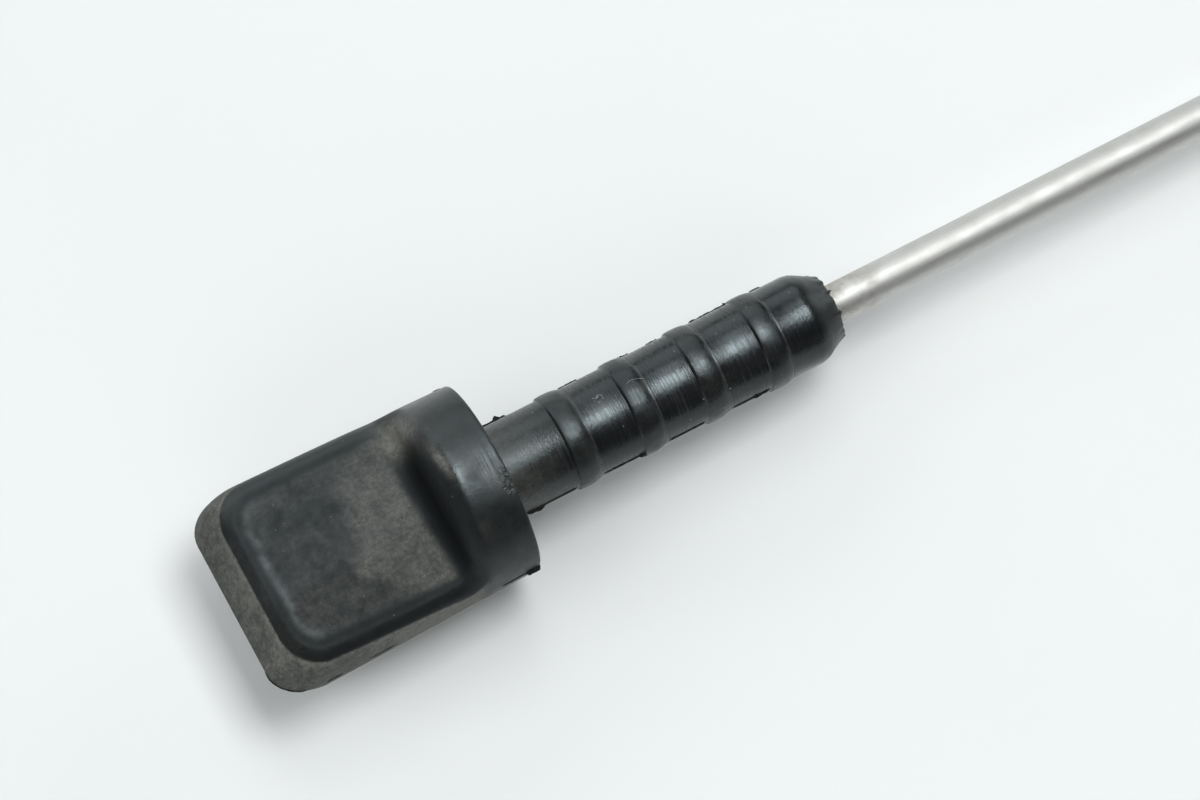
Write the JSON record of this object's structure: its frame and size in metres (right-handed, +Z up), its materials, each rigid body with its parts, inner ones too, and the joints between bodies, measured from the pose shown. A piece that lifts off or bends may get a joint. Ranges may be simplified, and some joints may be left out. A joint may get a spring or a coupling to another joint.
{
  "type": "engine oil dipstick",
  "caption": "Engine oil dipstick: a straight steel rod with a flat measuring blade, and a rubber handle moulded over its end with a paddle grip, round collar and ribbed sealing plug.",
  "frame": {"origin": "centre of the collar's seat face, where the rod's axis crosses it", "axes": "+X runs along the part from the grip to the measuring tip, +Z is up and +Y is across the flat of the grip; the rod's axis dips 1.75 degrees below +X, because the part lies on its collar and its tip"},
  "size_m": [0.3999, 0.0264, 0.0253],
  "materials": {
    "rubber": "aged, dusty satin",
    "steel": "drawn, satin"
  },
  "bodies": {
    "root": {"rubber_handle": "rubber", "steel_rod": "steel"}
  },
  "joints": []
}
